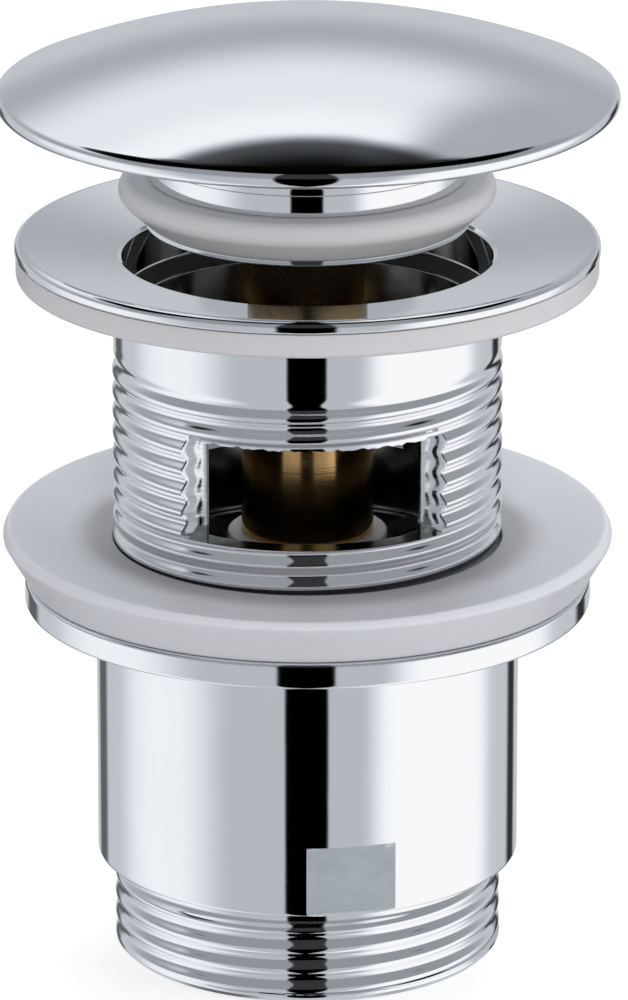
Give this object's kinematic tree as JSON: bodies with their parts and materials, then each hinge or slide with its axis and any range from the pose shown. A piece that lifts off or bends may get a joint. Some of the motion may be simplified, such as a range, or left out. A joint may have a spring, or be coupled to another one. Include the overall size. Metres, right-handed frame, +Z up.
{
  "type": "pop up basin waste",
  "caption": "Chromed click-to-close basin waste: domed plug on a sprung plunger, dished flange on a slotted threaded tube, flared gasket and screw-on tail.",
  "frame": {"origin": "middle of the outlet end, on the tail's foot", "axes": "+Z up along the axis to the plug, -Y towards the overflow slot that faces the viewer"},
  "size_m": [0.0664, 0.0664, 0.1027],
  "materials": {
    "chrome": "mirror plated",
    "brass": "turned",
    "milky_rubber": "milky silicone",
    "black_rubber": "matt",
    "acetal": "moulded",
    "spring_steel": "drawn wire"
  },
  "bodies": {
    "waste_body": {"upper_body": "chrome", "flange_gasket": "milky_rubber", "cartridge_sleeve": "brass", "guide_cap": "brass", "wiper_ring": "black_rubber", "ring_spacer": "acetal", "snap_ring": "spring_steel", "seat_washer": "acetal", "lock_washer": "spring_steel", "lock_nut": "brass", "return_spring": "spring_steel"},
    "plug": {"plug_dome": "chrome", "plug_core": "chrome", "plug_seal": "milky_rubber", "plunger": "brass"},
    "track": {"track_ring": "acetal", "track_pins": "spring_steel"},
    "clamp_gasket": {"basin_gasket": "milky_rubber"},
    "tail": {"tail_body": "chrome", "tail_seal": "black_rubber"}
  },
  "joints": [
    {"name": "plug_press", "type": "slide", "parent": "waste_body", "child": "plug", "axis": [0, 0, 1], "range_m": [-0.0059, 0], "stiffness_N_per_m": 1200, "springref_m": 0.006, "deforming": ["return_spring"]},
    {"name": "track_step", "type": "hinge", "parent": "waste_body", "child": "track", "pos_m": [0, 0, 0.056], "axis": [0, 0, 1], "range_deg": [-22.5, 0]},
    {"name": "gasket_rise", "type": "slide", "parent": "waste_body", "child": "clamp_gasket", "axis": [0, 0, 1], "range_m": [-0.00462, 0.01848]},
    {"name": "tail_turn", "type": "hinge", "parent": "clamp_gasket", "child": "tail", "pos_m": [0, 0, 0.02], "axis": [0, 0, 1], "range_deg": [-720, 2880]}
  ],
  "couplings": [
    {"joint": "track_step", "follows": "plug_press", "rad_per_m": 65.889},
    {"joint": "gasket_rise", "follows": "tail_turn", "m_per_rad": 0.00036749}
  ]
}
